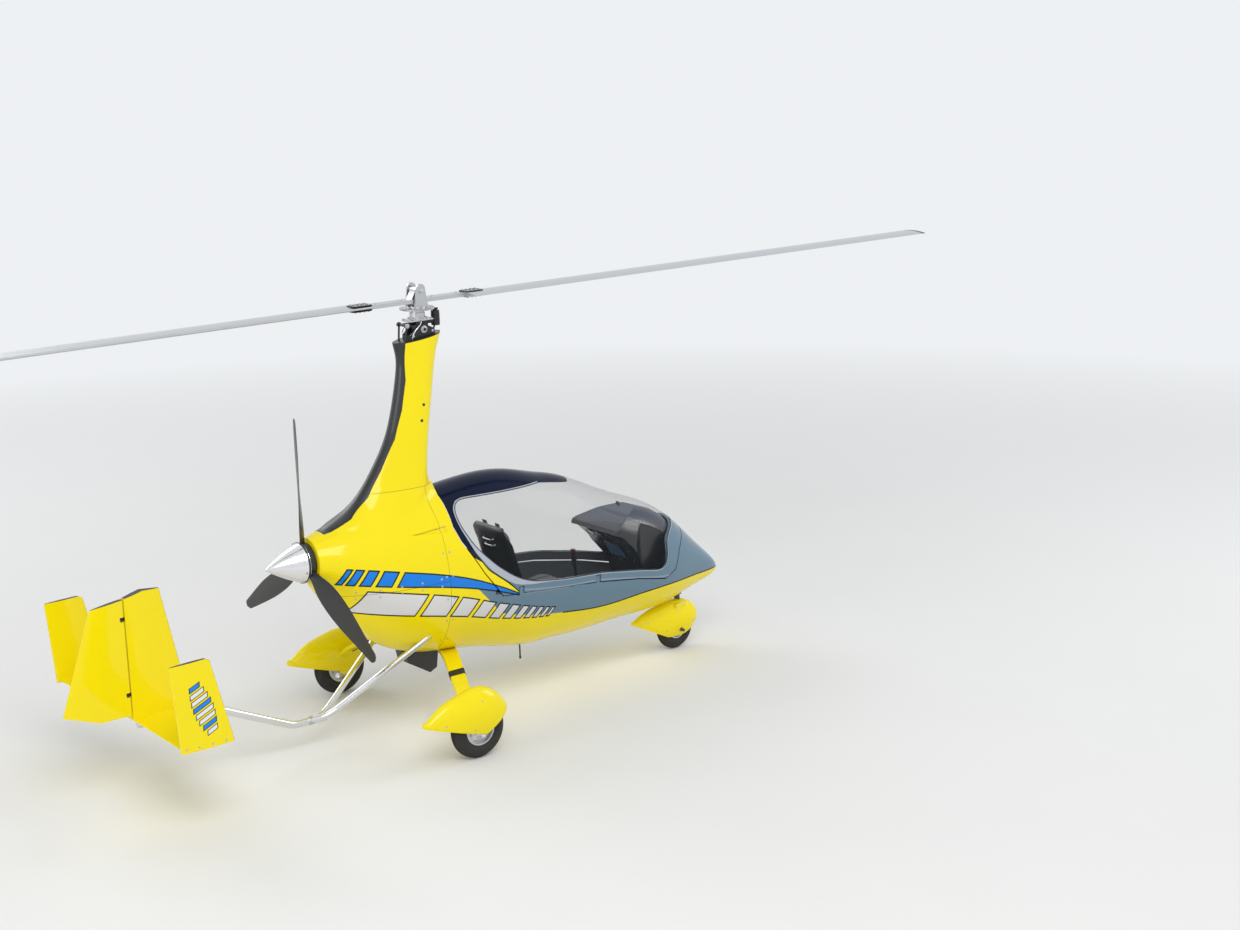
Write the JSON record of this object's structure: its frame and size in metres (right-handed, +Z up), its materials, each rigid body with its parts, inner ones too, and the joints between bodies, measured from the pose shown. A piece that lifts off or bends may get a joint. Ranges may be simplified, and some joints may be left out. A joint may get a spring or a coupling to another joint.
{
  "type": "gyrocopter",
  "caption": "Enclosed tandem two-seat gyrocopter with teetering rotor, pusher propeller, faired tricycle gear, boom tail with rudder, and side-hinged canopy.",
  "frame": {"origin": "on the ground under the rotor axis, at the middle of the part's footprint", "axes": "+X to the nose, +Y to the left side, +Z up"},
  "size_m": [8.4, 1.738, 2.7059],
  "materials": {
    "body_yellow": "high gloss paint",
    "roof_navy": "high gloss paint",
    "frame_grey": "high gloss paint",
    "canopy_clear": "polished",
    "black_trim": "satin",
    "cabin_black": "woven",
    "cabin_grey": "satin",
    "stainless": "polished",
    "engine_metal": "satin",
    "head_metal": "anodised",
    "rotor_metal": "satin",
    "prop_black": "satin",
    "spinner_metal": "polished",
    "tyre": "rubber",
    "rim": "satin"
  },
  "bodies": {
    "airframe": {"fuselage_tub": "body_yellow", "rear_bulkhead": "cabin_grey", "cabin_floor": "cabin_grey", "engine_cowl": "body_yellow", "lower_cowl": "body_yellow", "mast_fairing": "body_yellow", "mast_trim": "black_trim", "engine_block": "engine_metal", "canopy_hinges": "head_metal", "nose_leg_tube": "head_metal", "main_gear_bow": "body_yellow", "main_spat_left": "body_yellow", "main_spat_right": "body_yellow", "tail_boom": "stainless", "stabiliser": "body_yellow", "fin": "body_yellow", "rudder_hinges": "head_metal", "end_plate_left": "body_yellow", "end_plate_right": "body_yellow", "head_base": "head_metal", "bearing_housing": "head_metal", "spin_up_motor": "head_metal", "seat_front": "cabin_black", "seat_rear": "cabin_black", "instrument_hood": "cabin_grey", "control_stick": "black_trim", "belly_scoop": "black_trim", "belly_aerial": "black_trim"},
    "canopy": {"canopy_frame": "frame_grey", "canopy_glass": "canopy_clear", "canopy_roof": "roof_navy"},
    "nose_gear": {"nose_fork": "head_metal", "nose_spat": "body_yellow"},
    "nose_wheel": {"nose_tyre": "tyre", "nose_rim": "rim"},
    "main_wheel_left": {"main_tyre_left": "tyre", "main_rim_left": "rim"},
    "main_wheel_right": {"main_tyre_right": "tyre", "main_rim_right": "rim"},
    "rudder": {"rudder": "body_yellow"},
    "rotor_head": {"rotor_tower": "rotor_metal"},
    "rotor": {"rotor_hub_bar": "rotor_metal", "rotor_blade_front": "rotor_metal", "rotor_blade_rear": "rotor_metal"},
    "propeller": {"propeller_hub": "prop_black", "propeller_blades": "prop_black", "spinner": "spinner_metal"}
  },
  "joints": [
    {"name": "canopy_hinge", "type": "hinge", "parent": "airframe", "child": "canopy", "pos_m": [0.42, -0.353, 0.802], "axis": [0.9964, 0.0166, -0.083], "range_deg": [0, 65]},
    {"name": "nose_steer", "type": "hinge", "parent": "airframe", "child": "nose_gear", "pos_m": [1.95, 0, 0.4], "axis": [0, 0, 1], "range_deg": [-25, 25]},
    {"name": "nose_wheel_spin", "type": "hinge", "parent": "nose_gear", "child": "nose_wheel", "pos_m": [1.919, 0, 0.145], "axis": [0, 1, 0], "continuous": true},
    {"name": "main_wheel_left_spin", "type": "hinge", "parent": "airframe", "child": "main_wheel_left", "pos_m": [-0.235, 0.782, 0.18], "axis": [0, 1, 0], "continuous": true},
    {"name": "main_wheel_right_spin", "type": "hinge", "parent": "airframe", "child": "main_wheel_right", "pos_m": [-0.235, -0.782, 0.18], "axis": [0, 1, 0], "continuous": true},
    {"name": "rudder_hinge", "type": "hinge", "parent": "airframe", "child": "rudder", "pos_m": [-2.038, 0, 0.8], "axis": [0, 0, 1], "range_deg": [-28, 28]},
    {"name": "rotor_spin", "type": "hinge", "parent": "airframe", "child": "rotor_head", "pos_m": [0, 0, 2.55], "axis": [0, 0, 1], "continuous": true},
    {"name": "rotor_teeter", "type": "hinge", "parent": "rotor_head", "child": "rotor", "pos_m": [0, 0, 2.662], "axis": [0, 1, 0], "range_deg": [-8, 8]},
    {"name": "propeller_spin", "type": "hinge", "parent": "airframe", "child": "propeller", "pos_m": [-0.875, 0, 1.158], "axis": [1, 0, 0], "continuous": true}
  ]
}
